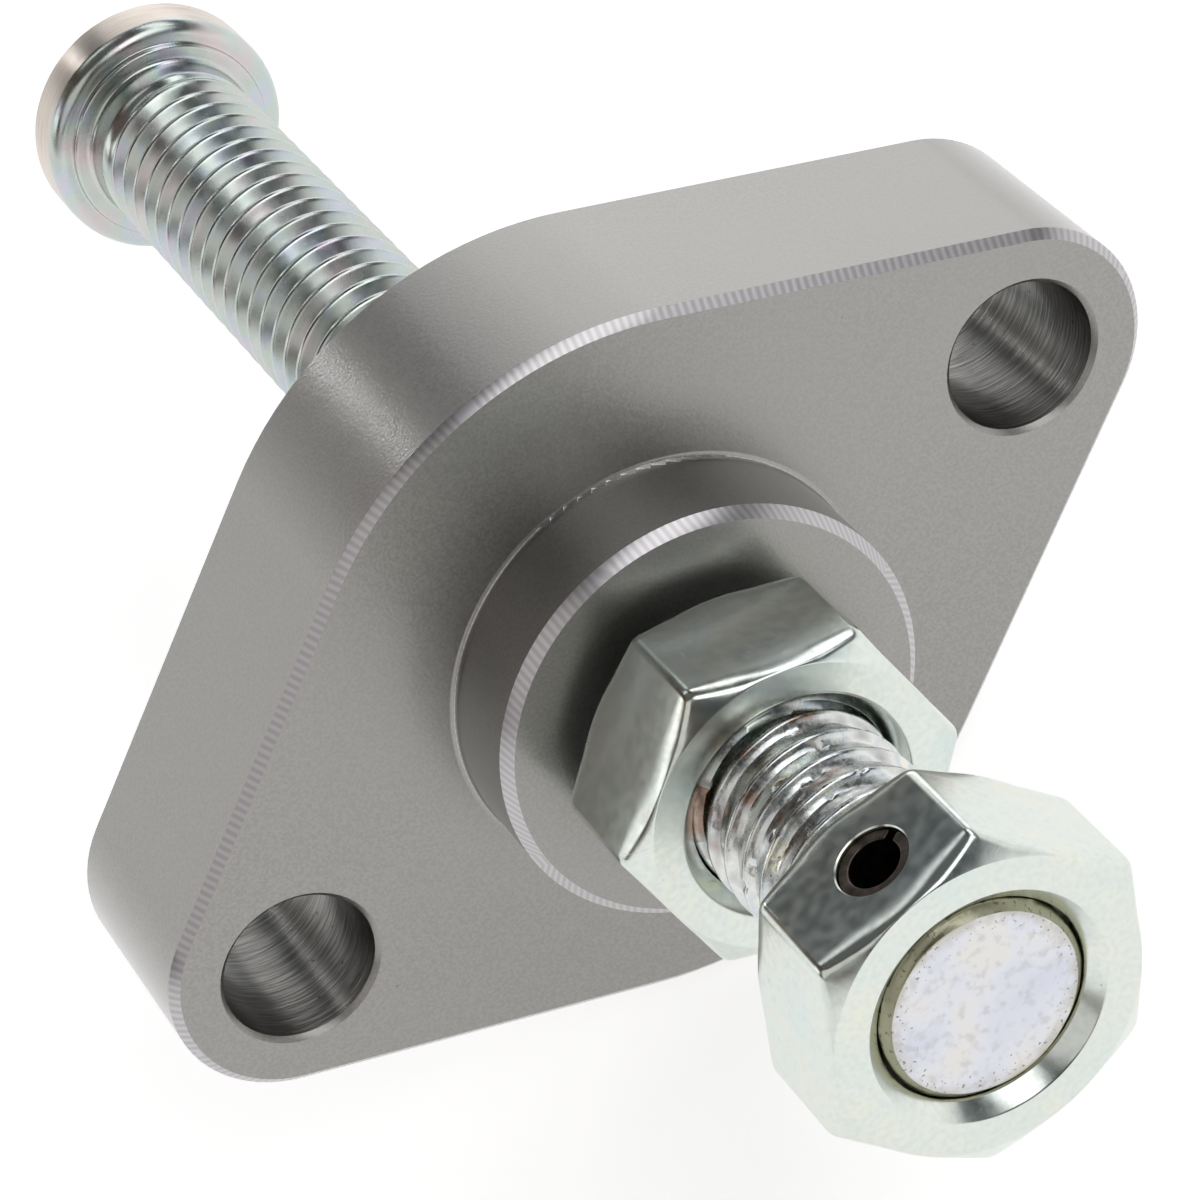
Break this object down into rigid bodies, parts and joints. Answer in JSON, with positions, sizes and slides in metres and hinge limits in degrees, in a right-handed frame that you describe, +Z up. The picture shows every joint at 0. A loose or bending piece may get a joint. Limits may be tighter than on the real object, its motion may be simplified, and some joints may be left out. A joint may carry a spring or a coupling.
{
  "type": "cam chain tensioner",
  "caption": "Manual cam chain tensioner: a flange with a boss, an adjuster bolt with a round pad, a lock nut, and a drive nut held by a roll pin.",
  "frame": {"origin": "centre of the flange's mounting face, on the adjuster bolt's axis", "axes": "+Y along the adjuster bolt into the engine, towards the pad; +X through the two mounting holes; +Z up"},
  "size_m": [0.0466, 0.0819, 0.0298],
  "materials": {
    "billet": "satin, fine bead-blasted grain",
    "zinc_bolt": "bright zinc plating with a faint iridescent tint",
    "zinc_nut": "satin zinc plating",
    "spring_steel": "dark oiled spring steel"
  },
  "bodies": {
    "flange": {"flange_body": "billet"},
    "adjuster": {"adjuster_bolt": "zinc_bolt", "drive_nut": "zinc_nut", "roll_pin": "spring_steel"},
    "lock_nut": {"lock_nut": "zinc_nut"}
  },
  "joints": [
    {"name": "adjuster_feed", "type": "slide", "parent": "flange", "child": "adjuster", "axis": [0, 1, 0], "range_m": [-0.0431, 0.0081]},
    {"name": "lock_nut_turn", "type": "hinge", "parent": "flange", "child": "lock_nut", "pos_m": [0, -0.01808, 0], "axis": [0, -1, 0], "continuous": true}
  ]
}
